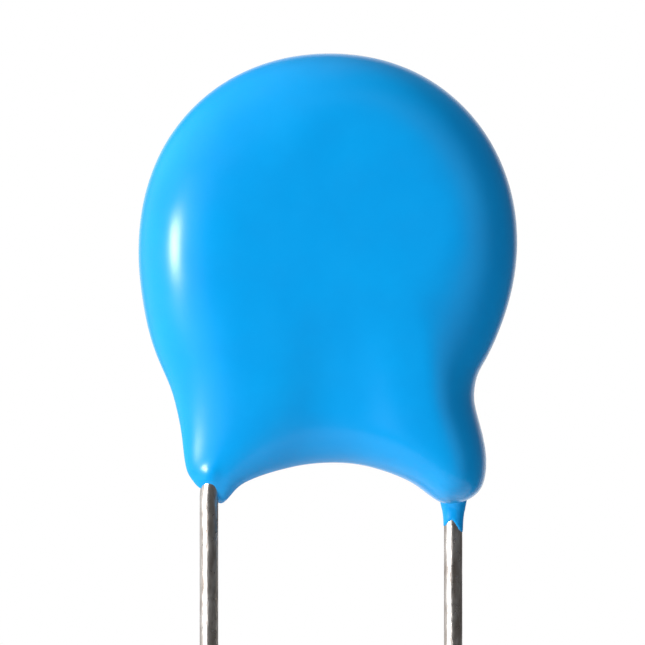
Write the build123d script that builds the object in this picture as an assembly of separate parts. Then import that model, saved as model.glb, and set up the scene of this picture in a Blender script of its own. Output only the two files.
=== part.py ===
from build123d import *
import os
from math import atan2, cos, degrees, exp, hypot, radians, sin, tan

# A dipped ceramic disc capacitor with two straight radial leads, in millimetres.
# +Z is up, the front face looks along -Y, and the origin is midway between the
# leads on the plane that a board's top face reaches when the part is pushed home.

# Ceramic disc and the silver fired on its two faces
ceramic_diameter = 9.6
ceramic_thickness = 1.6
disc_height = 8.9
disc_offset = -0.11
electrode_thickness = 0.03
electrode_margin = 0.5

# Tinned wire leads, the left one on the front face and the right one on the rear
lead_diameter = 0.57
lead_spacing = 7.5
lead_length = 20.0
lead_leg_top = 1.0
lead_bend_radius = 3.0
lead_bend_angle = 14
lead_slope_length = 9.3
lead_tip_chamfer = 0.08

# Solder that holds each lead to its electrode
solder_film = 0.05
solder_start = 4.6
solder_overrun = 0.5
solder_width = 1.5
solder_height = 0.5
solder_draft = 30

# Dipped epoxy coat: its walls, and how far down it runs
coat_rim_wall = 1.03
coat_over_lead = 0.7
coat_rounding = 2.05
coat_crown_power = 2.3
coat_flat_share = 0.53
skirt_start = 1.7
skirt_rounding = 1.3
front_exit_height = 1.41
rear_exit_height = 0.92
arch_height = 2.16

# Coat outline between straight down and each lead: share of the lead's bearing,
# and share of the way from the arch's reach to the lead's exit
front_arch_shares = ((0.28, 0.085), (0.46, 0.230), (0.63, 0.440), (0.77, 0.700), (0.88, 0.910))
rear_arch_shares = ((0.32, 0.065), (0.50, 0.187), (0.66, 0.360), (0.80, 0.620), (0.90, 0.890))

# Coat outline outside each lead: share of the lead's bearing, and share of the
# way from the disc's rim out to the lead's exit
front_flank_shares = (
    (1.07, 1.040), (1.14, 1.015), (1.21, 0.965), (1.29, 0.855), (1.42, 0.655), (1.60, 0.455),
    (1.80, 0.310), (2.05, 0.220), (2.35, 0.150), (2.75, 0.066), (3.17, 0.016),
)
rear_flank_shares = (
    (1.08, 1.028), (1.15, 1.030), (1.24, 0.996), (1.34, 0.885), (1.44, 0.712), (1.54, 0.485),
    (1.63, 0.295), (1.73, 0.183), (1.86, 0.105), (2.05, 0.065), (2.43, 0.024), (2.87, 0.000),
)

# Coat outline over the top: bearing in degrees, and share of the coat's radius
top_shares = ((-180, 1.000), (-152, 1.007), (-124, 1.007), (124, 1.010), (152, 1.012))

# Faces of the skirt at its lower edge: share of the way from the middle out to a
# lead, and shares of the coat's half depth for the front face and for the rear face
skirt_shares = (
    (-1.23, -0.600, -0.210), (-0.96, -0.770, -0.235), (-0.61, -0.840, 0.095), (-0.19, -0.755, 0.465),
    (0.32, -0.840, 0.650), (0.77, -1.000, 0.815), (1.23, -0.980, 0.860),
)
skirt_blend_share = 0.35

# Places of the coat's sections between the flat of each face and the rim
crown_shares = (0.12, 0.27, 0.43, 0.58, 0.71, 0.82, 0.90, 0.955, 0.987)

# Skin of coat that runs down the rear lead to the seating plane: wall, height
sleeve_steps = ((0.02, 0), (0.04, 0.45), (0.09, 0.72), (0.22, 1.02), (0.26, 2.3))

# Drip of coat that hangs behind the front lead
drip_side = 0.33
drip_back = 0.2
drip_height = 0.93
drip_tip_radius = 0.18
drip_length = 0.4
drip_slope = 45
drip_root_height = 2.2

# Lengths worked out from the sizes above
ceramic_radius = ceramic_diameter / 2
lead_radius = lead_diameter / 2
electrode_face = ceramic_thickness / 2 + electrode_thickness
lead_depth = electrode_face + solder_film + lead_radius
coat_radius = ceramic_radius + coat_rim_wall
coat_half_depth = lead_depth + lead_radius + coat_over_lead
front, rear = -1, 1


def lead_bearing(side, exit_height):
    """Signed angle of a lead's exit from straight down, seen from the disc's centre."""
    across = side * lead_spacing / 2 - disc_offset
    return degrees(atan2(across, disc_height - exit_height))


def lead_reach(side, exit_height):
    """Distance from the disc's centre to a lead's exit."""
    across = side * lead_spacing / 2 - disc_offset
    return hypot(across, disc_height - exit_height)


def skirt_points(side, exit_height, arch_shares, flank_shares):
    """Bearing and reach of the outline on one side, from the arch out to the rim."""
    bearing = lead_bearing(side, exit_height)
    reach = lead_reach(side, exit_height)
    arch_reach = disc_height - arch_height
    points = [(bearing, reach)]
    for turn_share, reach_share in arch_shares:
        points.append((bearing * turn_share, arch_reach + (reach - arch_reach) * reach_share))
    for turn_share, reach_share in flank_shares:
        points.append((bearing * turn_share, coat_radius + (reach - coat_radius) * reach_share))
    return points


def coat_outline():
    """The coat's outline as bearing and reach, once round from the top."""
    points = [(0, disc_height - arch_height)]
    points += skirt_points(front, front_exit_height, front_arch_shares, front_flank_shares)
    points += skirt_points(rear, rear_exit_height, rear_arch_shares, rear_flank_shares)
    points += [(bearing, coat_radius * reach_share) for bearing, reach_share in top_shares]
    return sorted(points)


def skirt_faces(across):
    """Depths of the skirt's front and rear faces at its lower edge, at a place across."""
    weight, front_sum, rear_sum = 0, 0, 0
    for place_share, front_share, rear_share in skirt_shares:
        away = (across / (lead_spacing / 2) - place_share) / skirt_blend_share
        near = exp(-(away**2))
        weight += near
        front_sum += near * front_share
        rear_sum += near * rear_share
    return front_sum / weight * coat_half_depth, rear_sum / weight * coat_half_depth


def body_share(height):
    """Zero at the skirt's lower edge, one where the full body begins, smooth between."""
    skirt_top = disc_height - skirt_start
    share = (height - front_exit_height) / (skirt_top - front_exit_height)
    share = min(max(share, 0), 1)
    return share * share * (3 - 2 * share)


def edge_slants(outline):
    """How squarely the outline crosses the line from the disc's centre, point by point."""
    slants = []
    for place, (bearing, reach) in enumerate(outline):
        before, after = outline[place - 1], outline[(place + 1) % len(outline)]
        turn = radians((after[0] - before[0]) % 360)
        slants.append(reach * turn / hypot(reach * turn, after[1] - before[1]))
    return slants


def coat_section(outline, face, crown_share):
    """The outline drawn in towards the flat of one face, at the depths the coat has there."""
    flat = coat_flat_share * coat_radius
    points = []
    for (bearing, reach), slant in zip(outline, edge_slants(outline)):
        gap = (reach - flat) * (1 - crown_share)
        out = reach - gap
        across = disc_offset + out * sin(radians(bearing))
        height = disc_height - out * cos(radians(bearing))
        body = body_share(height)
        rounding = skirt_rounding + (coat_rounding - skirt_rounding) * body
        inward = max(1 - gap * slant / rounding, 0)
        crown = (1 - inward**coat_crown_power) ** (1 / coat_crown_power)
        front_skirt, rear_skirt = skirt_faces(across)
        front_depth = front_skirt - (coat_half_depth + front_skirt) * body
        rear_depth = rear_skirt + (coat_half_depth - rear_skirt) * body
        middle = (front_depth + rear_depth) / 2
        depth = middle + face * (rear_depth - front_depth) / 2 * crown
        if crown_share == 0:
            depth = face * coat_half_depth
        points.append((across, depth, height))
    turns = [bearing for bearing, reach in outline]
    turns.append(turns[0] + 360)
    return Wire([Edge.make_spline(points, periodic=True, parameters=turns)])


def coat_body():
    """The dipped body: a crowned disc with a skirt that leans out to both leads."""
    outline = coat_outline()
    shares = [0, *crown_shares]
    sections = [coat_section(outline, front, share) for share in shares]
    sections.append(coat_section(outline, front, 1))
    sections += [coat_section(outline, rear, share) for share in reversed(shares)]
    return Solid.make_loft(sections)


def coat_sleeve():
    """The skin of coat drawn down the rear lead, flaring where it leaves the body."""
    skin = [(lead_radius + wall, height) for wall, height in sleeve_steps]
    bottom, top = skin[0][1], skin[-1][1]
    profile = Plane.XZ * make_face(Polyline(*skin, (0, top), (0, bottom), close=True))
    return Pos(lead_spacing / 2, lead_depth, 0) * revolve(profile, Axis.Z)


def coat_drip():
    """The drop of coat that set while it hung behind the front lead."""
    slope = radians(drip_slope)
    tip = Vector(0, drip_height)
    nose_middle = tip + Vector(0, drip_tip_radius)
    shoulder = nose_middle + Vector(sin(slope), -cos(slope)) * drip_tip_radius
    root = shoulder + Vector(cos(slope), sin(slope)) * drip_length
    nose = CenterArc(nose_middle, drip_tip_radius, -90, drip_slope)
    rest = Polyline(shoulder, root, (0, drip_root_height), tip)
    profile = Plane.XZ * Face(Wire([nose.edge(), *rest.edges()]))
    place = Pos(drip_side - lead_spacing / 2, drip_back - lead_depth, 0)
    return place * revolve(profile, Axis.Z)


def lead_corner(side):
    """Where a lead's straight leg and its slope would meet if the bend were sharp."""
    height = lead_leg_top + lead_bend_radius * tan(radians(lead_bend_angle / 2))
    return Vector(side * lead_spacing / 2, side * lead_depth, height)


def lead_slope(side):
    """Direction of the part of a lead that crosses the disc's face."""
    angle = radians(lead_bend_angle)
    return Vector(-side * sin(angle), 0, cos(angle))


def lead(side):
    """One wire: a straight leg, one bend, and a slope soldered across the disc."""
    corner = lead_corner(side)
    tip = Vector(corner.X, corner.Y, -lead_length)
    end = corner + lead_slope(side) * lead_slope_length
    path = FilletPolyline(tip, corner, end, radius=lead_bend_radius)
    wire = sweep(Plane(tip, z_dir=(0, 0, 1)) * Circle(lead_radius), path)
    tip_edge = wire.edges().sort_by(Axis.Z)[0]
    return chamfer(tip_edge, lead_tip_chamfer)


def solder(side):
    """The bead along a lead's slope, from near the electrode's edge to past its end."""
    start = lead_corner(side) + lead_slope(side) * solder_start
    length = lead_slope_length + solder_overrun - solder_start
    middle = start + lead_slope(side) * (length / 2)
    seat = Plane(
        (middle.X, side * electrode_face, middle.Z),
        x_dir=lead_slope(side),
        z_dir=(0, side, 0),
    )
    bead = extrude(seat * SlotOverall(length, solder_width), solder_height, taper=solder_draft)
    return bead - lead(side)


def disc_plate(radius, near, far):
    """A round plate about the disc's axis between two depths."""
    plane = Plane((disc_offset, near, disc_height), x_dir=(1, 0, 0), z_dir=(0, 1, 0))
    return extrude(plane * Circle(radius), far - near)


def build_nodes():
    """Every piece by name, with the coat cut to fit all that it holds."""
    disc_face = ceramic_thickness / 2
    electrode_radius = ceramic_radius - electrode_margin
    nodes = {
        "ceramic_disc": disc_plate(ceramic_radius, -disc_face, disc_face),
        "front_electrode": disc_plate(electrode_radius, -electrode_face, -disc_face),
        "rear_electrode": disc_plate(electrode_radius, disc_face, electrode_face),
        "front_solder": solder(front),
        "rear_solder": solder(rear),
        "front_lead": lead(front),
        "rear_lead": lead(rear),
    }
    coat = coat_body() + coat_sleeve() + coat_drip()
    for piece in nodes.values():
        coat = coat - piece
    nodes["coating"] = coat
    return nodes


os.makedirs("parts", exist_ok=True)
for name, shape in build_nodes().items():
    export_step(shape, f"parts/{name}.step")
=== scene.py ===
import math

import bpy
import numpy as np
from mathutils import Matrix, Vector


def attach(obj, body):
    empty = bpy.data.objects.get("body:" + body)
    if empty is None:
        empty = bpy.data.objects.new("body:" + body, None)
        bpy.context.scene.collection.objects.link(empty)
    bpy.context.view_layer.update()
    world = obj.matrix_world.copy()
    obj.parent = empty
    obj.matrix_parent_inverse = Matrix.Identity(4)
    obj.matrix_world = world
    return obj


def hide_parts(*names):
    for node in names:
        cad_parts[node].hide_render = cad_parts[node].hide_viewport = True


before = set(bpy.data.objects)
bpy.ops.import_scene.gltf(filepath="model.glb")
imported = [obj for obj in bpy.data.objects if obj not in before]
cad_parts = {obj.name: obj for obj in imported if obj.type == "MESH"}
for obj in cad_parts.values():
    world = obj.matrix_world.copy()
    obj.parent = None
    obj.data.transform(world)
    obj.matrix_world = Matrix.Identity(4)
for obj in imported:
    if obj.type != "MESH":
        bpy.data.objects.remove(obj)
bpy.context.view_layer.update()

# A dipped ceramic disc capacitor. Sizes are in millimetres, as in the part, and
# are turned into metres where a mesh, lamp or camera is made.
METRE = 0.001
FRONT, REAR = -1, 1

# Photograph: its side in pixels, its scale, and the pixel of the part's origin
PHOTO_SIDE = 645
PIXEL = 0.0307
ORIGIN_PIXEL = (331.8, 533.0)
CAMERA_DISTANCE = 200.0
SENSOR_WIDTH = 36.0

# Ceramic disc and its coat. COAT_ROUND and SKIRT_ROUND give the width of the rim's
# rounding at bearings round the disc, for its upper part and for the skirt
DISC_HEIGHT = 8.9
DISC_OFFSET = -0.11
COAT_RADIUS = 5.82
COAT_HALF_DEPTH = 2.15
COAT_CROWN_POWER = 2.2
COAT_ROUND = (
    (-180, 2.1), (-155, 2.9), (-130, 3.2), (-105, 2.8), (-85, 2.7), (-60, 2.9),
    (-20, 2.2), (40, 2.2), (62, 2.9), (85, 2.3), (120, 2.15),
)
SKIRT_ROUND = (
    (-180, 1.3), (-75, 2.3), (-42, 1.8), (-22, 1.9), (0, 1.6), (25, 1.3), (60, 1.3), (120, 1.3),
)
SKIRT_TOP = 7.8
FRONT_EXIT_HEIGHT = 1.41
REAR_EXIT_HEIGHT = 0.92
ARCH_HEIGHT = 2.16

# Faces of the skirt at its lower edge: share of the way from the middle out to a
# lead, and shares of the coat's half depth for the front face and for the rear face.
# Then how far each row blends into the next, and the distance from the middle over
# which the faces come to follow the leads inward
SKIRT_SHARES = (
    (-1.23, -0.640, -0.210), (-0.96, -0.850, -0.235), (-0.61, -0.850, 0.095),
    (-0.19, -0.700, 0.465), (0.32, -0.760, 0.650), (0.77, -1.000, 0.815),
    (1.23, -0.980, 0.860),
)
SKIRT_BLEND_SHARE = 0.35
SKIRT_TURN = 1.5

# Outline of the coat: share of a lead's bearing, and share of the way from the
# arch, or from the rim, to that lead's exit
FRONT_ARCH_SHARES = ((0.28, 0.085), (0.46, 0.230), (0.63, 0.440), (0.77, 0.700), (0.88, 0.910))
REAR_ARCH_SHARES = ((0.32, 0.065), (0.50, 0.187), (0.66, 0.360), (0.80, 0.620), (0.90, 0.890))
FRONT_FLANK_SHARES = (
    (1.07, 1.040), (1.14, 1.015), (1.21, 0.965), (1.29, 0.855), (1.42, 0.655), (1.60, 0.455),
    (1.80, 0.310), (2.05, 0.220), (2.35, 0.150), (2.75, 0.066), (3.17, 0.016),
)
REAR_FLANK_SHARES = (
    (1.08, 1.028), (1.15, 1.030), (1.24, 0.996), (1.34, 0.885), (1.44, 0.712), (1.54, 0.485),
    (1.63, 0.295), (1.73, 0.183), (1.86, 0.105), (2.05, 0.065), (2.43, 0.024), (2.87, 0.000),
)
TOP_SHARES = ((-180, 1.000), (-152, 1.007), (-124, 1.007), (124, 1.010), (152, 1.012))

# Skin drawn down the rear lead: its reach from the lead's middle, the share of that
# from which it turns back into the coat, and the height below which it is drawn. Its
# steps have a share of the reach, a radius and a height. Its lower edge has a bearing
# round the lead and a height
SKIN_REACH = 0.72
SKIN_BLEND_START = 0.6
SKIN_CEILING = REAR_EXIT_HEIGHT + 2 * SKIN_REACH
SKIN_STEPS = (
    (0.00, 0.000, 0.00), (0.22, 0.270, 0.00), (0.27, 0.302, 0.00), (0.40, 0.315, 0.34),
    (0.54, 0.342, 0.58), (0.68, 0.395, 0.78), (0.80, 0.480, 0.93), (1.00, 0.720, 1.10),
)
SKIN_EDGE = (
    (-180, 0.14), (-90, 0.18), (-45, 0.24), (-8, 0.36), (25, 0.16), (52, 0.02), (110, 0.04),
)

# Skin over the front lead: its thickness, how far it sinks into the wire where it
# ends, the heights where it starts, is full and fades, how round it is across and
# how softly it joins the coat; then the low dome on it
COVER_SKIN = 0.01
COVER_SINK = 0.10
COVER_LOW = 1.42
COVER_HIGH = 1.70
COVER_TOP = 3.0
COVER_SHARE = 0.33
COVER_BLEND = 0.04
DOME_RISE = 0.10
DOME_HEIGHT = 1.98
DOME_SPAN = 0.30

# Drip behind the front lead: its place across and in depth, its length and width, the
# height below which the coat hangs down into it, and how gradually that begins
DRIP_PLACE = (-3.41, -0.965)
DRIP_LENGTH = 0.42
DRIP_WIDTH = 0.28
DRIP_TOP = 2.61
DRIP_FADE = 0.8

# Leads
LEAD_RADIUS = 0.285
LEAD_PITCH = 7.5
LEAD_DEPTH = 1.165
LEAD_LENGTH = 20.0
LEAD_LEG_TOP = 1.0
LEAD_BEND_RADIUS = 3.0
LEAD_BEND_ANGLE = 14
LEAD_SLOPE_LENGTH = 9.3
LEAD_TIP_ROUND = 0.08

# Steps of the meshes, and where those of the coat crowd together: a width in degrees
# and a weight at each lead, then a place, width and weight towards the rim
OUTLINE_STEPS = 2401
SPREAD_STEPS = 4000
COAT_TURNS = 361
COAT_ROWS = 90
LEAD_CROWDING = (5, 6)
RIM_CROWDING = ((1, 0.06, 12), (1, 0.012, 60))
LEAD_SIDES = 64
LEAD_LEG_STEPS = 211
LEAD_BEND_STEPS = 13
LEAD_SLOPE_STEPS = 12
LEAD_TIP_STEPS = 6
FLOOR_SIDES = 96

# Distance from the outline within which its nearest point alone counts, and a length
# too small to divide by
EDGE_ZONE = 0.08
TINY = 1e-9


def link(name, points, faces):
    """A smooth mesh object from points in millimetres."""
    mesh = bpy.data.meshes.new(name)
    mesh.from_pydata([tuple(p * METRE) for p in np.asarray(points)], [], faces)
    mesh.polygons.foreach_set("use_smooth", [True] * len(mesh.polygons))
    mesh.update()
    piece = bpy.data.objects.new(name, mesh)
    bpy.context.scene.collection.objects.link(piece)
    return piece


def closed_curve(turns, values, period):
    """A smooth periodic function through values at the given turns."""
    count = len(turns)
    steps = np.diff(np.append(turns, turns[0] + period))
    rows = np.zeros((count, count))
    right = np.zeros(count)
    for i in range(count):
        before, after = steps[i - 1], steps[i]
        following = (i + 1) % count
        rows[i, i - 1] += before
        rows[i, i] += 2 * (before + after)
        rows[i, following] += after
        rise_after = (values[following] - values[i]) / after
        rise_before = (values[i] - values[i - 1]) / before
        right[i] = 6 * (rise_after - rise_before)
    bends = np.linalg.solve(rows, right)

    def value(at):
        at = turns[0] + np.mod(np.asarray(at, float) - turns[0], period)
        i = np.clip(np.searchsorted(turns, at, side="right") - 1, 0, count - 1)
        following = (i + 1) % count
        step = steps[i]
        near = (at - turns[i]) / step
        far = 1 - near
        curve = (far**3 - far) * bends[i] + (near**3 - near) * bends[following]
        return far * values[i] + near * values[following] + curve * step**2 / 6

    return value


def round_curve(table):
    """A smooth function of bearing through a table of bearings and values."""
    bearings, values = (np.array(column) for column in zip(*table))
    return closed_curve(bearings, values, 360)


# The coat's outline

def lead_bearing(side, exit_height):
    """Signed angle of a lead's exit from straight down, seen from the disc's centre."""
    return math.degrees(math.atan2(side * LEAD_PITCH / 2 - DISC_OFFSET, DISC_HEIGHT - exit_height))


def lead_reach(side, exit_height):
    """Distance from the disc's centre to a lead's exit."""
    return math.hypot(side * LEAD_PITCH / 2 - DISC_OFFSET, DISC_HEIGHT - exit_height)


def skirt_points(side, exit_height, arch_shares, flank_shares):
    """Bearing and reach of the outline on one side, from the arch out to the rim."""
    bearing = lead_bearing(side, exit_height)
    reach = lead_reach(side, exit_height)
    arch_reach = DISC_HEIGHT - ARCH_HEIGHT
    points = [(bearing, reach)]
    for start, shares in ((arch_reach, arch_shares), (COAT_RADIUS, flank_shares)):
        points += [(bearing * turn, start + (reach - start) * out) for turn, out in shares]
    return points


def coat_reach():
    """The coat's reach as a smooth function of bearing."""
    points = [(0, DISC_HEIGHT - ARCH_HEIGHT)]
    points += skirt_points(FRONT, FRONT_EXIT_HEIGHT, FRONT_ARCH_SHARES, FRONT_FLANK_SHARES)
    points += skirt_points(REAR, REAR_EXIT_HEIGHT, REAR_ARCH_SHARES, REAR_FLANK_SHARES)
    points += [(bearing, COAT_RADIUS * share) for bearing, share in TOP_SHARES]
    points.sort()
    return round_curve(points)


def ease(value, start, end):
    """Zero before start, one after end, and smooth between."""
    share = np.clip((value - start) / (end - start), 0, 1)
    return share * share * (3 - 2 * share)


def skirt_depth(across, column):
    """Depth of one of the skirt's faces, as a smooth curve across the part."""
    total, weight = 0, 0
    for row in SKIRT_SHARES:
        near = np.exp(-(((across / (LEAD_PITCH / 2) - row[0]) / SKIRT_BLEND_SHARE) ** 2))
        total = total + near * row[column]
        weight = weight + near
    return total / weight * COAT_HALF_DEPTH


def edge_distance(across, up, gap):
    """Distance from the outline, evened out where two stretches of it are equally near."""
    turns = np.linspace(-180, 180, OUTLINE_STEPS)
    reach = coat_reach()(turns)
    angle = np.radians(turns)
    edge_across = DISC_OFFSET + reach * np.sin(angle)
    edge_up = DISC_HEIGHT - reach * np.cos(angle)
    edge = np.stack([edge_across, edge_up], axis=1)
    lengths = np.hypot(*np.diff(edge, axis=0).T)
    middles = (edge[1:] + edge[:-1]) / 2
    distance = np.empty_like(across)
    for i in range(len(across)):
        square = (middles[:, 0] - across[i, :, None]) ** 2 + (middles[:, 1] - up[i, :, None]) ** 2
        nearness = (lengths / np.maximum(square, TINY) ** 2).sum(axis=1)
        distance[i] = (2 / math.pi * nearness) ** (-1 / 3)
    return np.where(gap < EDGE_ZONE, gap, distance)


def spread(low, high, count, peaks):
    """Steps from low to high that crowd together round each peak of place, width and weight."""
    fine = np.linspace(low, high, SPREAD_STEPS)
    density = np.ones_like(fine)
    for place, width, weight in peaks:
        density += weight * np.exp(-(((fine - place) / width) ** 2))
    total = np.concatenate(([0], np.cumsum((density[1:] + density[:-1]) / 2)))
    return np.interp(np.linspace(0, total[-1], count), total, fine)


def coat_points(bearings, shares):
    """Rows of points from the front face's middle over the rim to the rear face's middle."""
    reach = coat_reach()(bearings)
    angle = np.radians(bearings)
    round_again = np.append(angle, angle[:2] + 2 * math.pi)
    slant = np.gradient(np.append(reach, reach[:2]), round_again)[:-2]
    slant[0] = slant[1]
    out = shares[:, None] * reach
    across = DISC_OFFSET + out * np.sin(angle)
    up = DISC_HEIGHT - out * np.cos(angle)
    gap = (reach - out) * reach / np.hypot(reach, slant)
    distance = edge_distance(across, up, gap)
    body = ease(up, FRONT_EXIT_HEIGHT, SKIRT_TOP)
    round_body = round_curve(COAT_ROUND)(bearings)
    round_skirt = round_curve(SKIRT_ROUND)(bearings)
    width = round_skirt + (round_body - round_skirt) * body
    inward = 1 - np.clip(distance / width, 0, 1)
    crown = (1 - inward**COAT_CROWN_POWER) ** (1 / COAT_CROWN_POWER)
    faces = []
    for face, column in ((FRONT, 1), (REAR, 2)):
        skirt = skirt_depth(across + np.tanh(across / SKIRT_TURN) * lead_inward(up), column)
        faces.append(skirt + (face * COAT_HALF_DEPTH - skirt) * body)
    middle = (faces[0] + faces[1]) / 2
    depths = [middle + (depth - middle) * crown for depth in faces]
    front, rear = (np.stack([across, depth, up], axis=2) for depth in depths)
    return np.concatenate([front, rear[-2::-1]])


def draw_skin(points):
    """Draw the coat's lower end down the rear lead as a thin skin with an uneven edge."""
    edge = round_curve(SKIN_EDGE)
    step, radius, height = (np.array(column) for column in zip(*SKIN_STEPS))
    away = points[:, :2] - (LEAD_PITCH / 2, LEAD_DEPTH)
    out = np.hypot(away[:, 0], away[:, 1])
    near = (out < SKIN_REACH) & (points[:, 2] < SKIN_CEILING)
    share = np.clip(out / SKIN_REACH, 0, 1)
    low = edge(np.degrees(np.arctan2(away[:, 0], -away[:, 1])))
    drawn = np.interp(share, step, height)
    drawn = low + drawn * (1 - low / height[-1])
    keep = ease(share, SKIN_BLEND_START, 1)
    points[near, 2] = (drawn * (1 - keep) + points[:, 2] * keep)[near]
    wide = np.interp(share, step, radius) / np.maximum(out, TINY)
    points[near, :2] = ((LEAD_PITCH / 2, LEAD_DEPTH) + away * wide[:, None])[near]


def lead_inward(up):
    """How far a lead has moved towards the part's middle at a height."""
    angle = math.radians(LEAD_BEND_ANGLE)
    turn = np.arcsin(np.clip((up - LEAD_LEG_TOP) / LEAD_BEND_RADIUS, 0, math.sin(angle)))
    above = np.maximum(up - LEAD_LEG_TOP - LEAD_BEND_RADIUS * math.sin(angle), 0)
    return LEAD_BEND_RADIUS * (1 - np.cos(turn)) + above * math.tan(angle)


def cover_lead(points):
    """Swell the coat's front face over the front lead, into a skin that ends on the wire."""
    away = points[:, 0] + LEAD_PITCH / 2 - lead_inward(points[:, 2])
    rise = ease(points[:, 2], COVER_LOW, COVER_HIGH)
    skin = LEAD_RADIUS - COVER_SINK + (COVER_SKIN + COVER_SINK) * rise
    from_dome = (points[:, 2] - DOME_HEIGHT) / DOME_SPAN
    skin = skin + DOME_RISE * np.exp(-(from_dome**2))
    skin = skin - np.maximum(points[:, 2] - COVER_TOP, 0) ** 2
    cover = COVER_SHARE * away**2 / LEAD_RADIUS - LEAD_DEPTH - skin
    bare = points[:, 1]
    points[:, 1] = -COVER_BLEND * np.logaddexp(-bare / COVER_BLEND, -cover / COVER_BLEND)


def hang_drip(points):
    """Pull the coat's lower edge down into a drop behind the front lead."""
    away = points[:, :2] - DRIP_PLACE
    pull = DRIP_LENGTH * np.exp(-((away**2).sum(axis=1)) / (2 * DRIP_WIDTH**2))
    points[:, 2] -= pull * np.clip((DRIP_TOP - points[:, 2]) / DRIP_FADE, 0, 1)


def coat_piece():
    """The dipped coat as one fine smooth skin."""
    exits = ((FRONT, FRONT_EXIT_HEIGHT), (REAR, REAR_EXIT_HEIGHT))
    peaks = [(lead_bearing(side, height), *LEAD_CROWDING) for side, height in exits]
    bearings = spread(-180, 180, COAT_TURNS, peaks)[:-1]
    shares = spread(0, 1, COAT_ROWS, RIM_CROWDING)[1:]
    rows = coat_points(bearings, shares)
    points = rows.reshape(-1, 3)
    cover_lead(points[:len(shares) * len(bearings)])
    hang_drip(points)
    draw_skin(points)
    points = list(points)
    count = len(bearings)
    faces = []
    for j in range(len(rows) - 1):
        for i in range(count):
            k = (i + 1) % count
            near, far = j * count, (j + 1) * count
            faces.append((near + i, near + k, far + k, far + i))
    for face, first in ((FRONT, 0), (REAR, len(points) - count)):
        middle = len(points)
        points.append(np.array((DISC_OFFSET, face * COAT_HALF_DEPTH, DISC_HEIGHT)))
        for i in range(count):
            k = (i + 1) % count
            ring = (first + k, first + i) if face == FRONT else (first + i, first + k)
            faces.append((middle, *ring))
    return link("coat", points, faces)


# The leads

def lead_path(side):
    """Points along a lead's middle line, from its tip to its soldered end."""
    angle = math.radians(LEAD_BEND_ANGLE)
    foot = np.array((side * LEAD_PITCH / 2, side * LEAD_DEPTH, 0.0))
    leg = np.linspace(-LEAD_LENGTH, LEAD_LEG_TOP, LEAD_LEG_STEPS)
    path = [foot + (0, 0, height) for height in leg]
    for turn in np.linspace(0, angle, LEAD_BEND_STEPS)[1:]:
        inward = LEAD_BEND_RADIUS * (1 - math.cos(turn))
        height = LEAD_LEG_TOP + LEAD_BEND_RADIUS * math.sin(turn)
        path.append(foot + (-side * inward, 0, height))
    slope = np.array((-side * math.sin(angle), 0, math.cos(angle)))
    length = LEAD_SLOPE_LENGTH - LEAD_BEND_RADIUS * math.tan(angle / 2)
    bend_end = path[-1]
    path += [bend_end + slope * d for d in np.linspace(0, length, LEAD_SLOPE_STEPS)[1:]]
    return path


def lead_piece(name, side):
    """A tinned wire with a softly rounded cut tip, in place of the path's first two points."""
    path = lead_path(side)
    radii = [LEAD_RADIUS] * len(path)
    arc = np.linspace(math.pi / 2, 0, LEAD_TIP_STEPS)
    tip = [path[0] + (0, 0, LEAD_TIP_ROUND * (1 - math.sin(a))) for a in arc]
    tip_radii = [LEAD_RADIUS - LEAD_TIP_ROUND * (1 - math.cos(a)) for a in arc]
    path = tip + path[2:]
    radii = tip_radii + radii[2:]
    points = []
    for place, radius in zip(path, radii):
        for i in range(LEAD_SIDES):
            turn = 2 * math.pi * i / LEAD_SIDES
            points.append(place + (radius * math.cos(turn), radius * math.sin(turn), 0))
    faces = []
    for j in range(len(path) - 1):
        for i in range(LEAD_SIDES):
            k = (i + 1) % LEAD_SIDES
            near, far = j * LEAD_SIDES, (j + 1) * LEAD_SIDES
            faces.append((near + i, near + k, far + k, far + i))
    faces.append(tuple(reversed(range(LEAD_SIDES))))
    faces.append(tuple(range(len(points) - LEAD_SIDES, len(points))))
    return link(name, points, faces)


# Materials

# Where a mix of two colours or levels starts and ends along its noise
RAMP_START, RAMP_END = 0.3, 0.7


def new_material(name, **values):
    """A material whose plain values sit on the shader's own sockets."""
    material = bpy.data.materials.new(name)
    material.use_nodes = True
    shader = material.node_tree.nodes["Principled BSDF"]
    for socket, value in values.items():
        shader.inputs[socket.replace("_", " ")].default_value = value
    return material, material.node_tree, shader


def add_noise(tree, scale, detail, stretch=(1, 1, 1)):
    """A noise texture over the piece's own coordinates, its scale in features a metre."""
    place = tree.nodes.new("ShaderNodeTexCoord")
    mapping = tree.nodes.new("ShaderNodeMapping")
    mapping.inputs["Scale"].default_value = stretch
    noise = tree.nodes.new("ShaderNodeTexNoise")
    noise.inputs["Scale"].default_value = scale
    noise.inputs["Detail"].default_value = detail
    tree.links.new(place.outputs["Object"], mapping.inputs["Vector"])
    tree.links.new(mapping.outputs["Vector"], noise.inputs["Vector"])
    return noise.outputs["Fac"]


def add_ramp(tree, factor, low, high, socket):
    """Two colours, or two grey levels, mixed by a factor and fed to a socket."""
    ramp = tree.nodes.new("ShaderNodeValToRGB")
    ramp.color_ramp.elements[0].position = RAMP_START
    ramp.color_ramp.elements[1].position = RAMP_END
    ramp.color_ramp.elements[0].color = low
    ramp.color_ramp.elements[1].color = high
    tree.links.new(factor, ramp.inputs["Fac"])
    tree.links.new(ramp.outputs["Color"], socket)


def add_bump(tree, factor, shader, distance, strength):
    """A fine relief from a height factor."""
    bump = tree.nodes.new("ShaderNodeBump")
    bump.inputs["Distance"].default_value = distance * METRE
    bump.inputs["Strength"].default_value = strength
    tree.links.new(factor, bump.inputs["Height"])
    tree.links.new(bump.outputs["Normal"], shader.inputs["Normal"])


def grey(level):
    """A grey of one level, as a colour."""
    return (level, level, level, 1)


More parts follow.
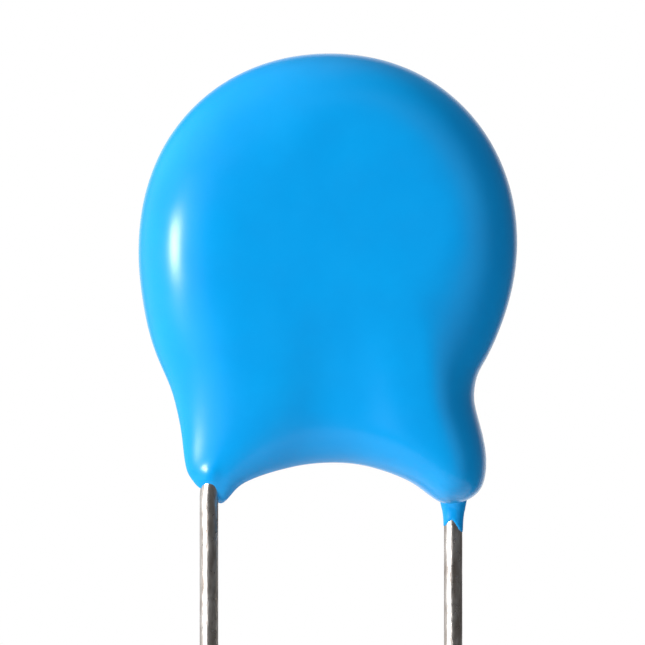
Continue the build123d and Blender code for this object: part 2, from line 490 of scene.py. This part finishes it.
def epoxy_material():
    """Glossy blue epoxy with a faint unevenness of colour, gloss and surface."""
    material, tree, shader = new_material("epoxy", IOR=1.42)
    low, high = (0.0, 0.340, 0.800, 1), (0.0, 0.375, 0.850, 1)
    add_ramp(tree, add_noise(tree, 420, 4), low, high, shader.inputs["Base Color"])
    add_ramp(tree, add_noise(tree, 900, 3), grey(0.22), grey(0.27), shader.inputs["Roughness"])
    add_bump(tree, add_noise(tree, 1500, 2), shader, 0.01, 0.15)
    return material


def tin_material():
    """Tinned wire, drawn along its length, with a mottled skin."""
    material, tree, shader = new_material("tinned_wire", Metallic=1.0)
    drawn = add_noise(tree, 6000, 4, (1, 1, 0.22))
    low, high = (0.50, 0.43, 0.38, 1), (0.95, 0.91, 0.87, 1)
    add_ramp(tree, drawn, low, high, shader.inputs["Base Color"])
    add_ramp(tree, add_noise(tree, 6000, 3), grey(0.26), grey(0.38), shader.inputs["Roughness"])
    add_bump(tree, drawn, shader, 0.03, 0.9)
    return material


def ceramic_material():
    """Fired brown ceramic with a fine grain."""
    material, tree, shader = new_material("ceramic", Roughness=0.6)
    low, high = (0.34, 0.23, 0.15, 1), (0.48, 0.36, 0.25, 1)
    add_ramp(tree, add_noise(tree, 3000, 6), low, high, shader.inputs["Base Color"])
    add_bump(tree, add_noise(tree, 8000, 4), shader, 0.01, 0.3)
    return material


def silver_material():
    """Fired silver, satin and a little cloudy."""
    material, tree, shader = new_material("silver", Metallic=1.0)
    low, high = (0.70, 0.68, 0.64, 1), (0.86, 0.85, 0.82, 1)
    add_ramp(tree, add_noise(tree, 2500, 5), low, high, shader.inputs["Base Color"])
    add_ramp(tree, add_noise(tree, 5000, 4), grey(0.35), grey(0.5), shader.inputs["Roughness"])
    return material


def solder_material():
    """Bright solder with a slightly rippled skin."""
    material, tree, shader = new_material("solder", Metallic=1.0)
    low, high = (0.60, 0.60, 0.61, 1), (0.76, 0.76, 0.77, 1)
    add_ramp(tree, add_noise(tree, 2000, 4), low, high, shader.inputs["Base Color"])
    add_ramp(tree, add_noise(tree, 3500, 3), grey(0.18), grey(0.32), shader.inputs["Roughness"])
    add_bump(tree, add_noise(tree, 2500, 3), shader, 0.02, 0.4)
    return material


def paint(piece, material):
    """The piece's only material."""
    piece.data.materials.clear()
    piece.data.materials.append(material)


# The studio

# Floor and lamp; then the glows, each with an axis, the leans along it at which the
# glow starts and stops growing, and the levels there
FLOOR_RADIUS = 30.0
KEY_BEARING = 54
KEY_ELEVATION = 2
KEY_DISTANCE = 120.0
KEY_SIZE = (26.0, 28.0)
KEY_RADIANCE = 47.0
WHITE = (1, 1, 1, 1)
FILL_COLOUR = (0.88, 0.97, 1.08, 1)
ROOM_GLOW = ((-0.58, 0.3, 0.35), 0.1, 0.5, 0.0, 1.45)
FILL_GLOW = ((0.2, -0.98, 0.0), 0.3, 1.0, 0.06, 0.91)
FILL_GAP = ((0.0, -1.0, 0.0), 0.82, 0.96, 1.0, 0.12)
PANEL_GLOW = ((-1.0, 0.0, 0.0), 0.5, 0.87, 0.08, 0.7)
WALL_GLOW = ((0.0, 1.0, 0.0), 0.75, 1.0, 0.0, 1.0)
HALO_GLOW = ((-0.66, -0.75, 0.0), 0.9, 0.98, 0.0, 0.9)


def area_lamp(name, bearing, elevation, distance, size, radiance, target):
    """A rectangular lamp at a bearing to the left of the camera, facing the target."""
    lamp = bpy.data.lights.new(name, "AREA")
    lamp.shape = "RECTANGLE"
    lamp.size, lamp.size_y = size[0] * METRE, size[1] * METRE
    lamp.energy = radiance * math.pi * lamp.size * lamp.size_y
    turn, rise = math.radians(bearing), math.radians(elevation)
    level = math.cos(rise)
    away = Vector((-math.sin(turn) * level, -math.cos(turn) * level, math.sin(rise)))
    holder = bpy.data.objects.new(name, lamp)
    holder.location = target + away * distance * METRE
    holder.rotation_euler = away.to_track_quat("Z", "Y").to_euler()
    bpy.context.scene.collection.objects.link(holder)


def add_glow(tree, axis, start, end, low, high):
    """A level that grows smoothly as a direction leans along an axis."""
    place = tree.nodes.new("ShaderNodeTexCoord")
    lean = tree.nodes.new("ShaderNodeVectorMath")
    lean.operation = "DOT_PRODUCT"
    lean.inputs[1].default_value = axis
    level = tree.nodes.new("ShaderNodeMapRange")
    level.interpolation_type = "SMOOTHSTEP"
    limits = {"From Min": start, "From Max": end, "To Min": low, "To Max": high}
    for socket, value in limits.items():
        level.inputs[socket].default_value = value
    tree.links.new(place.outputs["Generated"], lean.inputs[0])
    tree.links.new(lean.outputs["Value"], level.inputs["Value"])
    return level.outputs["Result"]


def add_background(tree, colour, strength=None):
    """A background of one colour, its strength plain or fed."""
    background = tree.nodes.new("ShaderNodeBackground")
    background.inputs["Color"].default_value = colour
    if strength is not None:
        tree.links.new(strength, background.inputs["Strength"])
    return background.outputs["Background"]


def join_backgrounds(tree, kind, first, second, factor=None):
    """Two backgrounds added, or mixed by a factor."""
    join = tree.nodes.new(kind)
    sockets = [socket for socket in join.inputs if socket.type == "SHADER"]
    tree.links.new(first, sockets[0])
    tree.links.new(second, sockets[1])
    if factor is not None:
        tree.links.new(factor, join.inputs["Fac"])
    return join.outputs["Shader"]


def studio_world():
    """White to the camera, a room lit from the left and front, and white for reflections.

    The front fill has a dark gap round the camera, so that the coat's flat mirrors little.
    Reflections show a panel at the left with a halo in front of it, and a wall behind.
    """
    world = bpy.data.worlds.new("studio")
    world.use_nodes = True
    bpy.context.scene.world = world
    tree = world.node_tree
    room = add_background(tree, WHITE, add_glow(tree, *ROOM_GLOW))
    fill_level = tree.nodes.new("ShaderNodeMath")
    fill_level.operation = "MULTIPLY"
    tree.links.new(add_glow(tree, *FILL_GLOW), fill_level.inputs[0])
    tree.links.new(add_glow(tree, *FILL_GAP), fill_level.inputs[1])
    fill = add_background(tree, FILL_COLOUR, fill_level.outputs["Value"])
    panel = add_background(tree, WHITE, add_glow(tree, *PANEL_GLOW))
    wall = add_background(tree, WHITE, add_glow(tree, *WALL_GLOW))
    halo = add_background(tree, WHITE, add_glow(tree, *HALO_GLOW))
    backdrop = add_background(tree, WHITE)
    path = tree.nodes.new("ShaderNodeLightPath")
    mirrored = tree.nodes.new("ShaderNodeMath")
    mirrored.operation = "MAXIMUM"
    tree.links.new(path.outputs["Is Glossy Ray"], mirrored.inputs[0])
    tree.links.new(path.outputs["Is Transmission Ray"], mirrored.inputs[1])
    lit = join_backgrounds(tree, "ShaderNodeAddShader", room, fill)
    shown = join_backgrounds(tree, "ShaderNodeAddShader", panel, wall)
    shown = join_backgrounds(tree, "ShaderNodeAddShader", shown, halo)
    mirror, camera = mirrored.outputs["Value"], path.outputs["Is Camera Ray"]
    seen = join_backgrounds(tree, "ShaderNodeMixShader", lit, shown, mirror)
    seen = join_backgrounds(tree, "ShaderNodeMixShader", seen, backdrop, camera)
    tree.links.new(seen, tree.nodes["World Output"].inputs["Surface"])


def studio_floor():
    """A plain pale floor under the lead tips."""
    material, tree, shader = new_material("pale_floor", Roughness=0.9)
    add_ramp(tree, add_noise(tree, 60, 3), grey(0.83), grey(0.87), shader.inputs["Base Color"])
    points = []
    for i in range(FLOOR_SIDES):
        turn = 2 * math.pi * i / FLOOR_SIDES
        across, deep = FLOOR_RADIUS * math.cos(turn), FLOOR_RADIUS * math.sin(turn)
        points.append(np.array((across, deep, -LEAD_LENGTH)))
    floor = link("floor", points, [tuple(range(FLOOR_SIDES))])
    paint(floor, material)


def photo_camera():
    """A level camera in front, framed as the photograph is."""
    middle = PHOTO_SIDE / 2
    across = (middle - ORIGIN_PIXEL[0]) * PIXEL
    up = (ORIGIN_PIXEL[1] - middle) * PIXEL
    data = bpy.data.cameras.new("camera")
    data.sensor_width = SENSOR_WIDTH
    data.lens = SENSOR_WIDTH * CAMERA_DISTANCE / (PHOTO_SIDE * PIXEL)
    data.clip_start = METRE
    camera = bpy.data.objects.new("camera", data)
    camera.location = Vector((across, -CAMERA_DISTANCE, up)) * METRE
    camera.rotation_euler = (math.pi / 2, 0, 0)
    bpy.context.scene.collection.objects.link(camera)
    bpy.context.scene.camera = camera


# Pieces on the frame
coat = coat_piece()
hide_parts("coating")
paint(coat, epoxy_material())
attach(coat, "root")
tin = tin_material()
for node, side in (("front_lead", FRONT), ("rear_lead", REAR)):
    wire = lead_piece(node + "_wire", side)
    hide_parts(node)
    paint(wire, tin)
    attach(wire, "root")
silver, solder = silver_material(), solder_material()
paint(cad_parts["ceramic_disc"], ceramic_material())
for end in ("front", "rear"):
    paint(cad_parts[end + "_electrode"], silver)
    paint(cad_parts[end + "_solder"], solder)

# Light and camera
body_middle = Vector((DISC_OFFSET, 0, DISC_HEIGHT)) * METRE
studio_floor()
studio_world()
area_lamp(
    "key", KEY_BEARING, KEY_ELEVATION, KEY_DISTANCE, KEY_SIZE, KEY_RADIANCE, body_middle,
)
photo_camera()
bpy.context.scene.view_settings.view_transform = "Standard"
